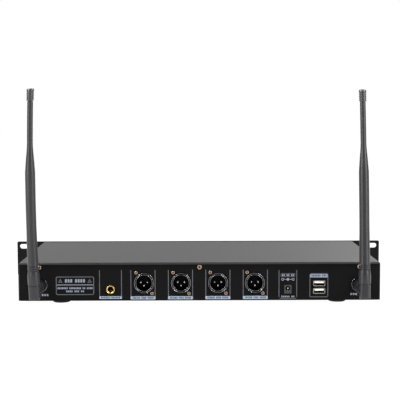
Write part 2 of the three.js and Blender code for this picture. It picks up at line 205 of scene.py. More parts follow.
def merged(parts):
    whole = bmesh.new()
    for part in parts:
        mesh = bpy.data.meshes.new("part")
        part.to_mesh(mesh)
        whole.from_mesh(mesh)
        bpy.data.meshes.remove(mesh)
    return whole


def moved(bm, matrix):
    bm.transform(matrix)
    return bm


def upright(bm):
    """Turns a piece drawn along Y so that it stands along Z."""
    return moved(bm, Matrix.Rotation(math.pi / 2, 4, "X"))


def sideways(bm):
    """Turns a piece drawn along Y so that it lies along X."""
    return moved(bm, Matrix.Rotation(-math.pi / 2, 4, "Z"))


def mark_edges(mesh, degrees):
    """Smooth faces, with the edges above an angle kept sharp."""
    bm = bmesh.new()
    bm.from_mesh(mesh)
    for face in bm.faces:
        face.smooth = True
    for edge in bm.edges:
        edge.smooth = len(edge.link_faces) == 2 and edge.calc_face_angle(0) < math.radians(degrees)
    bm.to_mesh(mesh)
    bm.free()


def raw_object(name, bm, place=Matrix.Identity(4)):
    bm.transform(Matrix.Scale(MM, 4) @ place)
    bmesh.ops.recalc_face_normals(bm, faces=bm.faces[:])
    mesh = bpy.data.meshes.new(name)
    bm.to_mesh(mesh)
    bm.free()
    obj = bpy.data.objects.new(name, mesh)
    bpy.context.scene.collection.objects.link(obj)
    return obj


def carve(obj, cutters, bevel=0.0):
    """Cuts the cutters out of the object, then rounds its sharp edges."""
    tools = []
    for i, (bm, place) in enumerate(cutters):
        tools.append(raw_object(f"{obj.name}_cutter_{i}", bm, place))
    for tool in tools:
        cut = obj.modifiers.new("cut", "BOOLEAN")
        cut.operation = "DIFFERENCE"
        cut.solver = "EXACT"
        cut.object = tool
    if bevel:
        rounding = obj.modifiers.new("edges", "BEVEL")
        rounding.width = bevel * MM
        rounding.segments = 2
        rounding.limit_method = "ANGLE"
        rounding.angle_limit = math.radians(50)
    evaluated = obj.evaluated_get(bpy.context.evaluated_depsgraph_get())
    mesh = bpy.data.meshes.new_from_object(evaluated)
    obj.modifiers.clear()
    obj.data = mesh
    for tool in tools:
        bpy.data.objects.remove(tool)
    return obj


def settle(obj, surface, body=CHASSIS, nodes=(), degrees=35):
    """Gives a finished object its material, and makes it ride on a body in place of some nodes."""
    mark_edges(obj.data, degrees)
    obj.data.materials.clear()
    obj.data.materials.append(surface["material"])
    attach(obj, body)
    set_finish(obj, surface["slot"])
    if nodes:
        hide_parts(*nodes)
    return obj


def piece(name, bm, surface, place=Matrix.Identity(4), body=CHASSIS, nodes=(), degrees=35):
    return settle(raw_object(name, bm, place), surface, body, nodes, degrees)


def copy_of(obj, name, place, body=CHASSIS, nodes=()):
    """Another piece with the same mesh, drawn about the origin."""
    twin = bpy.data.objects.new(name, obj.data)
    bpy.context.scene.collection.objects.link(twin)
    twin.matrix_world = Matrix.Translation(place.translation * MM)
    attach(twin, body)
    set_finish(twin, obj["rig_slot"])
    if nodes:
        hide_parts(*nodes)
    return twin


# Materials
def look(
    slot, name, color, roughness, metallic=0.0, specular=0.5, coat=0.0, alpha=1.0,
    grain=1800.0, depth=0.02, blotch=35.0, mottle=0.15, stretch=(1, 1, 1), swell=0.0,
):
    """A surface with slow changes of tone and fine changes of roughness.

    grain and blotch are the scales of its fine and its slow noise, depth and swell are the heights
    in millimetres of its fine bumps and its long waves, and mottle is how far its tone varies.
    """
    material = bpy.data.materials.new(name)
    material.use_nodes = True
    tree = material.node_tree
    shader = tree.nodes["Principled BSDF"]
    shader.inputs["Metallic"].default_value = metallic
    shader.inputs["Specular IOR Level"].default_value = specular
    shader.inputs["Coat Weight"].default_value = coat
    shader.inputs["Alpha"].default_value = alpha

    def node(kind, **values):
        made = tree.nodes.new(kind)
        for key, value in values.items():
            made.inputs[key].default_value = value
        return made

    def wire(source, target):
        tree.links.new(source, target)

    places = node("ShaderNodeTexCoord")
    mapping = node("ShaderNodeMapping", Scale=stretch)
    wire(places.outputs["Object"], mapping.inputs["Vector"])

    def noise(scale, detail):
        made = node("ShaderNodeTexNoise", Scale=scale, Detail=detail, Roughness=0.6)
        wire(mapping.outputs["Vector"], made.inputs["Vector"])
        return made.outputs["Fac"]

    slow = noise(blotch, 4.0)
    fine = noise(grain, 2.0)

    tone = node("ShaderNodeMapRange")
    tone.inputs["From Min"].default_value = 0.3
    tone.inputs["From Max"].default_value = 0.7
    tone.inputs["To Min"].default_value = 1 - mottle
    tone.inputs["To Max"].default_value = 1 + mottle
    wire(slow, tone.inputs["Value"])
    shade = tree.nodes.new("ShaderNodeVectorMath")
    shade.operation = "SCALE"
    shade.inputs[0].default_value = color
    wire(tone.outputs["Result"], shade.inputs["Scale"])
    wire(shade.outputs["Vector"], shader.inputs["Base Color"])

    rough = node("ShaderNodeMapRange")
    rough.inputs["From Min"].default_value = 0.25
    rough.inputs["From Max"].default_value = 0.75
    rough.inputs["To Min"].default_value = roughness * (1 - mottle * 0.6)
    rough.inputs["To Max"].default_value = min(roughness * (1 + mottle * 0.6), 1.0)
    wire(fine, rough.inputs["Value"])
    wire(rough.outputs["Result"], shader.inputs["Roughness"])

    bump = node("ShaderNodeBump", Strength=1.0, Distance=depth * MM)
    wire(fine, bump.inputs["Height"])
    if swell:
        wave = node("ShaderNodeBump", Strength=1.0, Distance=swell * MM)
        wire(noise(6.0, 1.0), wave.inputs["Height"])
        wire(wave.outputs["Normal"], bump.inputs["Normal"])
    wire(bump.outputs["Normal"], shader.inputs["Normal"])
    return {"slot": slot, "material": material}


tray_paint = look(
    "tray_paint", "tray_powder_coat", (0.0052, 0.005, 0.0052), 0.5, specular=0.06,
    grain=2200, depth=0.03,
)
cover_paint = look(
    "cover_paint", "cover_powder_coat", (0.0135, 0.013, 0.0127), 0.42, specular=0.5,
    grain=2400, depth=0.012, stretch=(0.35, 1, 1), blotch=22, mottle=0.12, swell=0.25,
)
panel_paint = look(
    "panel_paint", "panel_satin_black", (0.0045, 0.0045, 0.005), 0.38, specular=0.12,
    grain=2600, depth=0.015,
)
socket_plastic = look(
    "socket_plastic", "socket_nylon", (0.003, 0.003, 0.003), 0.35, specular=0.04,
    grain=3000, depth=0.004,
)
insulator = look(
    "socket_plastic", "insulator_nylon", (0.003, 0.003, 0.003), 0.6, specular=0.1,
    grain=3000, depth=0.01,
)
grey_plastic = look(
    "socket_plastic", "inlet_nylon", (0.04, 0.04, 0.04), 0.45, specular=0.3,
    grain=2800, depth=0.015,
)
white_plastic = look(
    "socket_plastic", "tongue_nylon", (0.9, 0.89, 0.87), 0.4,
    grain=2600, depth=0.01, mottle=0.05,
)
control_plastic = look(
    "control_plastic", "control_nylon", (0.014, 0.014, 0.015), 0.42,
    grain=3200, depth=0.02,
)
foot_rubber = look(
    "foot_rubber", "foot_rubber", (0.014, 0.014, 0.014), 0.75, specular=0.3,
    grain=2600, depth=0.05,
)
whip_rubber = look(
    "antenna_rubber", "whip_rubber", (0.02, 0.0195, 0.0215), 0.34, specular=0.5,
    grain=2400, depth=0.003, blotch=60, mottle=0.06,
)
cap_plastic = look(
    "antenna_rubber", "cap_plastic", (0.045, 0.044, 0.047), 0.25, specular=0.6,
    grain=2400, depth=0.002,
)
hinge_plastic = look(
    "antenna_plastic", "hinge_plastic", (0.007, 0.007, 0.0073), 0.4, specular=0.25,
    grain=2600, depth=0.02,
)
screw_nickel = look(
    "screw_nickel", "screw_nickel", (0.42, 0.30, 0.22), 0.34, metallic=1,
    grain=1400, depth=0.008, blotch=300,
)
jack_nickel = look(
    "jack_nickel", "jack_black_nickel", (0.028, 0.028, 0.027), 0.25, metallic=1,
    grain=1600, depth=0.01,
)
rim_gloss = look(
    "socket_plastic", "rim_black_chrome", (0.38, 0.38, 0.39), 0.12, metallic=1,
    grain=1500, depth=0.002,
)
pin_silver = look(
    "screw_nickel", "contact_silver", (0.8, 0.8, 0.78), 0.45, metallic=1,
    grain=1200, depth=0.004,
)
tinplate = look(
    "tinplate", "tinplate", (0.62, 0.55, 0.47), 0.28, metallic=1,
    grain=900, depth=0.01, stretch=(1, 1, 0.2),
)
gold = look(
    "gold_plate", "gold_plate", (0.80, 0.58, 0.22), 0.2, metallic=1,
    grain=1200, depth=0.005, mottle=0.08,
)
smoke = look(
    "window_smoke", "smoked_acrylic", (0.006, 0.007, 0.009), 0.06,
    grain=60, depth=0.002, coat=0.4, alpha=0.82,
)
board_green = look(
    "circuit_board", "solder_mask", (0.015, 0.085, 0.03), 0.4,
    grain=700, depth=0.03, blotch=120,
)


def ink(name, color):
    return look("tray_paint", name, color, 0.55, specular=0.2, grain=3500, depth=0.01, blotch=400)


ink_line = ink("ink_grey", (0.095, 0.1, 0.116))
ink_text = ink("ink_light", (0.23, 0.255, 0.30))
ink_band = ink("ink_pale_blue", (0.32, 0.37, 0.45))
ink_dark = ink("ink_dark", (0.06, 0.08, 0.13))
ink_white = look(
    "panel_paint", "ink_white", (0.62, 0.62, 0.62), 0.5,
    grain=3500, depth=0.01, blotch=400,
)
display_glass = look(
    "circuit_board", "display_glass", (0.035, 0.042, 0.04), 0.15,
    grain=90, depth=0.002,
)

CARRIED = {"tinplate": tinplate, "circuit_board": board_green, "socket_plastic": socket_plastic}


def dress_carried_nodes():
    """Puts the procedural materials on the CAD nodes that stay, which sit inside the case."""
    slots = {part["node"]: part["material_slot"] for part in frame["record"]["subparts"]}
    inside = ["main_board", "front_board", "receiver_shield", "power_switch"]
    inside += [f"volume_pot_{i}" for i in range(1, 5)]
    for name in inside:
        mesh = frame["nodes"][name].data
        for i in range(max(len(mesh.materials), 1)):
            if i < len(mesh.materials):
                mesh.materials[i] = CARRIED[slots[name]]["material"]
            else:
                mesh.materials.append(CARRIED[slots[name]]["material"])


# Case
def folded_strip(path, thickness, radius):
    """The outline of a sheet folded along a path of (y, z) points, with round bends."""
    middle = soften(path, radius, 5)
    left, right = [], []
    for i, point in enumerate(middle):
        here = Vector(point)
        before = Vector(middle[i - 1]) if i else here
        after = Vector(middle[i + 1]) if i + 1 < len(middle) else here
        along = (after - before).normalized()
        normal = Vector((-along.y, along.x)) * thickness / 2
        left.append(tuple(here + normal))
        right.append(tuple(here - normal))
    return left + right[::-1]


def along_x(bm):
    """Turns a piece drawn with its outline in (y, z) as (x, z), so that its thickness runs along X."""
    return moved(bm, Matrix(((0, 1, 0, 0), (1, 0, 0, 0), (0, 0, 1, 0), (0, 0, 0, 1))))


SOCKETS = [centre(f"xlr_insert_{i}") for i in range(1, 5)]
XLR_SCREWS = [centre(f"xlr_screw_{i}") for i in range(1, 9)]
COVER_SCREWS = [centre(f"cover_screw_{i}") for i in range(1, 4)]
JACKS = {letter: centre(f"antenna_collar_{letter}") for letter in "ab"}
PHONE = centre("phone_jack_nut")
DC = centre("dc_jack")
USB = centre("usb_shell")
KNOBS = [centre(f"volume_knob_{i}") for i in range(1, 5)]
SELECTS = [centre(f"select_button_{i}") for i in range(1, 5)]
POWER = centre("power_button")
WINDOW = centre("display_window")


def rear_holes():
    """Outlines of everything cut through the rear wall."""
    holes = [circle(12, c.x, c.z, 72) for c in SOCKETS]
    holes += [circle(1.5, c.x, c.z, 24) for c in XLR_SCREWS]
    holes += [circle(1.8, c.x, c.z, 24) for c in COVER_SCREWS]
    holes += [circle(5.1, c.x, c.z, 40) for c in JACKS.values()]
    holes.append(circle(4.3, PHONE.x, PHONE.z, 40))
    holes.append(rounded(9.2, 10.6, 0.8, DC.x, DC.z))
    holes.append(rounded(16.0, 16.4, 0.8, USB.x, USB.z))
    return holes


def control_holes():
    """Outlines of everything cut through the front panel between its ears."""
    low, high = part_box("display_window")
    width, height = (high.x - low.x) / MM + 0.6, (high.z - low.z) / MM + 0.6
    holes = [rounded(width, height, 3, WINDOW.x, WINDOW.z)]
    holes.append(rounded(15, 9, 1.5, POWER.x, POWER.z))
    holes += [circle(4, c.x, c.z, 40) for c in KNOBS]
    holes += [circle(2.8, c.x, c.z, 32) for c in SELECTS]
    return holes


def build_tray():
    half = HALF_WIDTH - SIDE - 0.3
    low, high = [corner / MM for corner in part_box("base_tray")]
    half_sheet = SHEET / 2
    path = [(low.y + half_sheet, 5), (low.y + half_sheet, half_sheet), (high.y, half_sheet)]
    pan = along_x(plate(folded_strip(path, SHEET, 1.6), -half, half, bevel=0.15))
    piece("tray_pan", pan, tray_paint, Matrix.Translation((0, 0, UNDER)), nodes=["base_tray"])
    for side in (-1, 1):
        inner, outer = sorted((side * half, side * (half - SHEET)))
        flange = block((inner, low.y + 2, SHEET), (outer, high.y, 14), 0.3)
        piece(f"tray_flange_{'plus' if side > 0 else 'minus'}_x", flange, tray_paint,
              Matrix.Translation((0, 0, UNDER)))


def build_rear_wall():
    low, high = [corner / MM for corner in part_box("rear_wall")]
    outline = rounded(high.x - low.x, high.z - low.z, 0.4, 0, (high.z + low.z) / 2, steps=2)
    wall = plate(outline, low.y, high.y, rear_holes(), bevel=0)
    piece("wall_sheet", wall, tray_paint, nodes=["rear_wall"])


def build_cover():
    low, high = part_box("top_cover")
    front = low.y / MM
    outer = HALF_WIDTH
    arch_path = [(-outer + SIDE / 2, 0.1), (-outer + SIDE / 2, COVER_TOP - SHEET / 2)]
    arch_path += [(outer - SIDE / 2, COVER_TOP - SHEET / 2), (outer - SIDE / 2, 0.1)]
    arch = plate(folded_strip(arch_path, SHEET, 2.8), front, REAR, bevel=0)
    piece("cover_shell", arch, cover_paint, Matrix.Translation((0, 0, UNDER)), nodes=["top_cover"])
    lip_low = COVER_TOP - 2.3
    reach = high.y / MM - REAR
    lip_path = [(REAR, COVER_TOP - SHEET / 2), (REAR + reach - SHEET / 2, COVER_TOP - SHEET / 2)]
    lip_path += [(REAR + reach - SHEET / 2, lip_low)]
    lip = along_x(plate(folded_strip(lip_path, SHEET, 1.1), -outer + 2.4, outer - 2.4, bevel=0))
    piece("cover_lip", lip, cover_paint, Matrix.Translation((0, 0, UNDER)))


def build_front_panel():
    width, height = PANEL_HIGH.x * 2, PANEL_HIGH.z - PANEL_LOW.z
    middle = (PANEL_HIGH.z + PANEL_LOW.z) / 2
    slots = []
    for side in (-1, 1):
        for level in (-1, 1):
            slots.append(rounded(11, 6.4, 3.19, side * 465.1 / 2, middle + level * 31.75 / 2, 10))
    outline = rounded(width, height, 1.2, 0, middle)
    face = plate(outline, PANEL_LOW.y, PANEL_HIGH.y, slots + control_holes(), bevel=0.35)
    piece("panel_face", face, panel_paint, nodes=["front_panel"])


# Fasteners
def screw_mesh(name, head, rise, shank, length):
    """A pan head screw along +Y with a cross recess, its head resting at y = 0."""
    profile = [(0, -length), (shank * 0.6, -length), (shank, -length + 0.8), (shank, 0), (head, 0)]
    profile += [(head, rise * 0.35), (head * 0.82, rise * 0.8), (head * 0.45, rise), (0, rise)]
    obj = raw_object(name, lathe(profile, 0.12, 48))
    cross = []
    for turn in (0.6, 0.6 + math.pi / 2):
        reach, half = head * 0.62, head * 0.15
        arm = block((-reach, rise - rise * 0.8, -half), (reach, rise + 1, half), 0)
        cross.append((arm, Matrix.Rotation(turn, 4, "Y")))
    point = lathe([(0, rise * 0.1), (head * 0.46, rise + 0.3), (0, rise + 0.3)], 0, 16)
    cross.append((point, Matrix.Identity(4)))
    return carve(obj, cross)


def build_screws():
    for kind, size, spots in (
        ("cover_screw", (2.8, 1.9, 1.4, 5), COVER_SCREWS),
        ("xlr_screw", (2.05, 1.4, 1.2, 4), XLR_SCREWS),
    ):
        first = None
        head, rise = size[:2]
        for i, spot in enumerate(spots, 1):
            place = on_rear(spot.x, spot.z - UNDER)
            node = f"{kind}_{i}"
            # A black disc in the bottom of the cross recess: painted shade, standing in for the shadow down
            # in the recess.
            floor, brim, reach = rise * 0.25, rise * 0.6, head * 0.36
            recess_shade_disc = lathe([(0, floor), (reach, floor), (reach, brim), (0, brim)], 0, 24)
            piece(f"{kind}_well_{i}", recess_shade_disc, insulator, place)
            if first is None:
                first = screw_mesh(f"{kind}_head_{i}", *size)
                first.matrix_world = Matrix.Translation(place.translation * MM)
                settle(first, screw_nickel, nodes=[node])
            else:
                copy_of(first, f"{kind}_head_{i}", place, nodes=[node])


def build_feet():
    radius = 10.7
    profile = [(0, 1.2), (4.5, 1.2), (4.9, 0.6), (5.2, 0), (radius - 1.3, 0), (radius - 0.5, 0.9)]
    profile += [(radius, UNDER - 0.4), (radius - 0.2, UNDER), (0, UNDER)]
    for i in range(1, 5):
        spot = centre(f"foot_{i}")
        place = Matrix.Translation((spot.x, spot.y, 0))
        foot = upright(lathe(profile, 0.4, 72))
        piece(f"rubber_foot_{i}", foot, foot_rubber, place, nodes=[f"foot_{i}"])
        head = upright(lathe([(0, 0.5), (2, 0.5), (3.2, 0.9), (3.2, 1.4), (0, 1.4)], 0.3, 32))
        piece(f"foot_fixing_{i}", head, screw_nickel, place)


# Sockets on the rear
def torus(radius, thickness, y):
    """A round wire ring about Y."""
    turns = [2 * math.pi * i / 16 for i in range(16)]
    profile = [(radius + thickness * math.cos(a), y + thickness * math.sin(a)) for a in turns]
    return lathe(profile + profile[:1], 0, 120)


def build_xlr():
    notch = math.radians(9)

    def keyed(angle, radius, y):
        away = abs(angle - math.pi / 2)
        if radius < 10.2 and away < notch and y > -8:
            return radius + 1.3 * (1 - (away / notch) ** 6)
        return radius

    ring = [(9.1, -15.6), (11.6, -15.6), (11.6, 0.45), (11.35, 0.9), (11.15, 0.9), (10.75, 0.35)]
    ring += [(10.5, 0.35), (10.2, 0.75), (9.75, 0.75), (9.1, 0.2), (9.1, -15.6)]
    disc = [(0, -16), (8.7, -16), (8.7, -12.3), (7.9, -12), (0, -12)]
    pin = [(0, -12), (0.8, -12), (0.8, -2.6), (0.74, -2.15), (0.56, -1.83), (0.3, -1.68), (0, -1.65)]
    for i, spot in enumerate(SOCKETS, 1):
        place = on_rear(spot.x, spot.z - UNDER)
        body = lathe(ring, 0.12, 120, keyed)
        piece(f"xlr_ring_{i}", body, socket_plastic, place, nodes=[f"xlr_shell_{i}"])
        flange = plate(rounded(26, 31, 2), -4, -SHEET - 0.1, [circle(11.6, steps=56)], 0.2)
        piece(f"xlr_flange_{i}", flange, socket_plastic, place)
        rims = merged([torus(11.05, 0.17, 0.85), torus(9.4, 0.15, 0.7)])
        piece(f"xlr_rims_{i}", rims, rim_gloss, place)
        piece(f"xlr_insulator_{i}", lathe(disc, 0.3, 64), insulator, place, nodes=[f"xlr_insert_{i}"])
        pins = []
        for x, z in ((-3.9, 0.5), (3.9, 0.5), (0, -3.4)):
            pins.append(moved(lathe(pin, 0.1, 28), Matrix.Translation((x, 0, z))))
        piece(f"xlr_pins_{i}", merged(pins), pin_silver, place)


def build_phone_jack():
    place = on_rear(PHONE.x, PHONE.z - UNDER)
    ring = [(4.05, 0), (4.95, 0), (4.95, 1.5), (4.65, 2.1), (4.3, 2.1), (4.05, 1.6), (4.05, 0)]
    piece("phone_ring", lathe(ring, 0.25, 128), gold, place, nodes=["phone_jack_nut"])

    def threaded(angle, radius, y):
        return radius + (0.06 * math.sin(2 * math.pi * (y / 0.75) + angle) if radius > 3.85 else 0)

    steps = [0.15 * i for i in range(-10, 12)]
    outer = [(3.95, y) for y in steps]
    sleeve = [(3.1, -26), (3.95, -26)] + outer + [(3.85, 1.8), (3.6, 1.8), (3.1, 1.1), (3.1, -26)]
    piece("phone_sleeve", lathe(sleeve, 0.1, 64, threaded), gold, place, nodes=["phone_jack"])
    housing = plate(rounded(14, 16, 0.6, 0, 1), -27, -1.6, [circle(4.0, steps=40)], 0.25)
    piece("phone_housing", housing, socket_plastic, place)
    contact = block((-1, -24, -2.9), (1, -8, -2.5), 0.1)
    piece("phone_contact", contact, pin_silver, place)


def build_dc_jack():
    place = on_rear(DC.x, DC.z - UNDER)
    face = plate(rounded(8.5, 9.9, 0.5), -13, 0.55, [circle(2.75, 0, 0.9, 40)], 0.25)
    piece("dc_housing", face, grey_plastic, place, nodes=["dc_jack"])
    floor = lathe([(0, -13), (2.7, -13), (2.7, -11.5), (0, -11.5)], 0.1, 32)
    piece("dc_floor", floor, insulator, place @ Matrix.Translation((0, 0, 0.9)))
    pin = lathe([(0, -11.6), (1.05, -11.6), (1.05, -1.2), (0.75, -0.7), (0, -0.55)], 0.25, 28)
    piece("dc_pin", pin, pin_silver, place @ Matrix.Translation((0, 0, 0.9)))
    spring = block((-0.9, -9, -1.75), (0.9, -0.4, -1.45), 0.1)
    piece("dc_spring", spring, pin_silver, place)


def build_usb():
    place = on_rear(USB.x, USB.z - UNDER)
    openings = [rounded(13.1, 5.7, 0.8, 0, side * 4.4) for side in (-1, 1)]
    body = plate(rounded(15.6, 15.9, 0.5), -17, -0.9, openings, 0.15)
    piece("usb_housing", body, insulator, place, nodes=["usb_shell"])
    back = plate(rounded(15, 15.4, 0.3), -17.1, -12.6, bevel=0.1)
    piece("usb_back", back, insulator, place)
    for i, side in enumerate((-1, 1), 1):
        middle = place @ Matrix.Translation((0, 0, side * 4.4))
        piece(f"usb_mouth_{i}", usb_mouth(), tinplate, middle)
        tongue = merged([
            block((-5.4, -12.5, 0.1), (5.4, 0.1, 2.3), 0.3),
            *[block((x - 0.55, -11, 0.12), (x + 0.55, -1.2, 0.4), 0.08) for x in (-3.5, -1.2, 1.2, 3.5)],
        ])
        piece(f"usb_blade_{i}", tongue, white_plastic, middle, nodes=["usb_insert"] if i == 1 else [])


def usb_mouth():
    """A thin metal sleeve whose edge flares out round the opening."""
    bm = bmesh.new()
    sections = [(12.4, 5.0, -12.5), (12.4, 5.0, -0.4), (12.5, 5.1, 0.0), (12.8, 5.45, 0.3)]
    sections += [(13.2, 5.9, 0.4), (13.5, 6.3, 0.3), (13.6, 6.4, 0.1), (13.45, 6.25, -0.2)]
    sections += [(13.1, 5.9, -0.3), (12.95, 5.55, -0.7), (12.95, 5.55, -12.5)]
    rings = []
    for width, height, y in sections:
        outline = rounded(width, height, 0.75 + (width - 12.4) * 0.35, steps=6)
        rings.append([bm.verts.new((x, y, z)) for x, z in outline])
    join_rings(bm, rings, True)
    return bm


# Antennas
LEAN = {"a": 2.2, "b": -0.2}  # degrees, the whip's top towards +X
TILT = {"a": 0.0, "b": 6.0}  # degrees, the whip's top towards the case
BOW = {"a": 0.000181, "b": -0.000042}  # the bend left in the rubber, towards -X


def build_antenna(letter):
    jack = JACKS[letter]
    place = on_rear(jack.x, jack.z - UNDER)
    washer = lathe([(4.9, 0), (7.9, 0), (7.9, 0.7), (4.9, 0.7), (4.9, 0)], 0.2, 64)
    piece(f"antenna_washer_{letter}", washer, jack_nickel, place)
    piece(f"antenna_washer_rim_{letter}", torus(7.75, 0.16, 0.6), rim_gloss, place)
    nut = plate(polygon(7.7, 6, turn=math.pi / 6), 0.7, 3.2, [circle(4.85, steps=48)], 0.35)
    piece(f"antenna_nut_{letter}", nut, jack_nickel, place, nodes=[f"antenna_jack_{letter}"])

    def threaded(angle, radius, y):
        return radius + (0.12 * math.sin(2 * math.pi * y / 0.8 + angle) if radius > 4.5 and y < 5 else 0)

    outer = [(4.75, -11.8 + 0.2 * i) for i in range(85)]
    barrel = [(0, -12), (3.4, -12), *outer, (4.8, 5.4), (4.8, 13.7), (4.5, 14), (3.4, 14), (3.4, 4), (0, 4)]
    piece(f"antenna_barrel_{letter}", lathe(barrel, 0.1, 64, threaded), jack_nickel, place)
    build_collar(letter, place)

    hinge = centre(f"antenna_pin_{letter}")
    pivot = Matrix.Translation(hinge) @ Matrix.Rotation(math.radians(LEAN[letter]), 4, "Y")
    build_plug(letter, pivot, hinge.y - REAR)
    build_whip(letter, pivot @ Matrix.Rotation(math.radians(TILT[letter]), 4, "X"))


def build_collar(letter, place):
    """The locking collar, with fine grips round it and a smooth band at each end."""
    def gripped(angle, radius, y):
        if radius < 7 or not 7 < y < 18.6:
            return radius
        return radius - 0.32 * abs(math.sin(18 * angle)) ** 3

    grips = [(7.2, 7.2 + 0.8 * i) for i in range(15)]
    profile = [(5.9, 5), (6.9, 5), (7.2, 5.5), *grips, (7.2, 19.4), (6.6, 20.6), (5.4, 21), (4.6, 21)]
    profile += [(4.6, 17.4), (5.9, 17.4), (5.9, 5)]
    piece(
        f"antenna_ring_{letter}", lathe(profile, 0.15, 216, gripped), hinge_plastic, place,
        body=f"antenna_collar_{letter}", nodes=[f"antenna_collar_{letter}"],
    )


def build_plug(letter, pivot, reach):
    """The plug's body and the flat tongue of the hinge, drawn about the hinge pin."""
    body = f"antenna_base_{letter}"
    profile = [(0, 6), (2.9, 6), (2.9, 14.3), (5.4, 14.4), (5.4, 16.8), (4.2, 16.8), (4.2, 21.4)]
    profile += [(5.2, 21.4), (5.8, 22.2), (5.8, 24.4), (5.3, 24.8), (5.3, 25.6), (5.8, 26)]
    profile += [(5.8, 34), (5.2, 34.6), (0, 34.6)]
    neck = moved(lathe(profile, 0.25, 72), Matrix.Translation((0, -reach, 0)))
    piece(f"antenna_neck_{letter}", neck, hinge_plastic, pivot, body=body, nodes=[body])
    turns = [math.radians(-66 + 6 * i) for i in range(23)]
    round_end = [(5.35 * math.cos(a), 5.35 * math.sin(a)) for a in turns]
    outline = [(33 - reach, -4.9), (0, -4.9), *round_end, (0, 4.9), (33 - reach, 4.9)]
    tongue = along_x(plate(outline, -4, 4, [circle(1.8, steps=32)], 0.35))
    piece(f"antenna_tongue_{letter}", tongue, hinge_plastic, pivot, body=body)


def hood_rings():
    """The rounded block of the whip's foot and, above a thin groove, the start of the round neck."""
    rings = []
    for z in [-8.5, -8.2, -7.4, -6, -3, 0, 4, 6.4, 6.7]:
        wide = 6.0 - 0.5 * max(0.0, (-8.1 - z) / 0.4)
        rings.append((z, wide, wide + 0.5, 3.4))
    rings += [(6.85, 5.6, 5.8, 3.2), (7.25, 5.6, 5.8, 3.0), (7.4, 6.25, 6.4, 2.8)]
    return rings + [(8, 6.4, 6.5, 2.5), (9, 6.55, 6.6, 2.2), (10.2, 6.7, 6.7, 2.0)]


def whip_profile():
    """The whip as (height above the hinge pin, radius): barrel, three grooves and tapering rod."""
    profile = [(12, 6.75), (15, 6.8), (18, 6.7), (20.5, 6.45), (22.2, 6.2)]
    for i in range(3):
        base = 22.6 + 2.5 * i
        profile += [(base, 6.15), (base + 0.1, 4.8), (base + 1, 4.8), (base + 1.1, 6.1)]
    profile += [(29.5, 6.05), (31, 5.95), (44, 5.85), (58, 5.75), (66, 5.65), (72, 5.6), (100, 5.6)]
    profile += [(128, 5.6), (132, 5.5), (137, 5.1), (143, 4.67), (149, 4.15), (154, 3.7), (159, 3.35)]
    return profile + [(163, 3.2), (175, 3.2), (190, 3.18), (208.6, 3.15)]


def rod_mesh(rows, bow):
    """A closed rod along Z from rows of (height, half width, half depth, squareness), bowed along X."""
    rings = []
    bm = bmesh.new()
    segments = 64
    for height, wide, deep, square in rows:
        shift = -bow * max(0.0, height - 20) ** 2
        ring = []
        for i in range(segments):
            a = 2 * math.pi * i / segments
            c, s = math.cos(a), math.sin(a)
            r = (abs(c) ** square + abs(s) ** square) ** (-1 / square)
            ring.append(bm.verts.new((shift + wide * r * c, deep * r * s, height)))
        rings.append(ring)
    join_rings(bm, rings, False)
    bm.faces.new(rings[0][::-1])
    bm.faces.new(rings[-1])
    return bm


def build_whip(letter, pivot):
    """The whip: a hollow foot that grows into a tapered rod, with a ribbed cap on top."""
    body = f"antenna_whip_{letter}"
    cap = rod_mesh([(z, r, r, 2.0) for r, z in cap_profile()], BOW[letter])
    piece(f"antenna_cap_{letter}", cap, cap_plastic, pivot, body=body)
    rod = rod_mesh(hood_rings() + [(z, r, r, 2.0) for z, r in whip_profile()], BOW[letter])
    obj = raw_object(f"antenna_rod_{letter}", rod)
    cuts = [
        block((-4.3, -13, -10), (4.3, 0, 6.4), 0),
        block((-4.3, -1, -10), (4.3, 5.75, 0), 0),
        sideways(lathe([(0, -4.3), (5.75, -4.3), (5.75, 4.3), (0, 4.3)], 0, 64)),
        sideways(lathe([(0, -9), (1.6, -9), (1.6, 9), (0, 9)], 0, 32)),
    ]
    carve(obj, [(cut, Matrix.Identity(4)) for cut in cuts])
    obj.data.transform(Matrix.Translation(pivot.translation * MM) @ pivot.to_3x3().to_4x4())
    settle(obj, whip_rubber, body, [body], 40)
    head = [(0, -5.9), (1.4, -5.9), (1.5, -5.6), (1.5, 5.6), (1.4, 5.9), (0, 5.9)]
    pin = sideways(lathe(head, 0.3, 32))
    piece(f"antenna_rivet_{letter}", pin, jack_nickel, pivot, body=body, nodes=[f"antenna_pin_{letter}"])


def cap_profile():
    """The ribbed cap at the top of the whip, as (radius, height)."""
    low, ribs, pitch = 208.9, 4, 2.35
    profile = [(2.7, low - 0.6), (2.7, low + 0.3), (4.05, low + 0.5), (4.1, low + 1.7)]
    for i in range(ribs):
        base = low + 2.1 + i * pitch
        profile += [(3.5, base), (3.5, base + 0.55), (4.1, base + 0.8), (4.1, base + pitch - 0.3)]
    return profile + [(4.05, low + 12.3), (3.8, low + 12.9), (3.3, low + 13.3), (2.6, low + 13.4)]


# Controls on the front
def build_knobs():
    def fluted(angle, radius, y):
        if radius < 5.2 or y > -1.6:
            return radius
        return radius - 0.38 * abs(math.sin(12 * angle)) ** 2

    for i, spot in enumerate(KNOBS, 1):
        body = f"volume_knob_{i}"
        place = on_front(spot.x, spot.z - UNDER)
        side = [(6.95 - 0.035 * j, -1.8 - j) for j in range(12)]
        profile = [(0, -13.9), (5.6, -13.9), (6.3, -13.5), *side[::-1]]
        profile += [(7, -0.8), (2, -0.8), (2, 9), (0, 9)]
        knob = lathe(profile, 0.25, 192, fluted)
        piece(f"knob_{i}", knob, control_plastic, place, body=body, nodes=[body])
        mark = block((-0.4, -14.02, 1.5), (0.4, -13.7, 5.6), 0.1)
        piece(f"knob_mark_{i}", mark, ink_white, place, body=body)


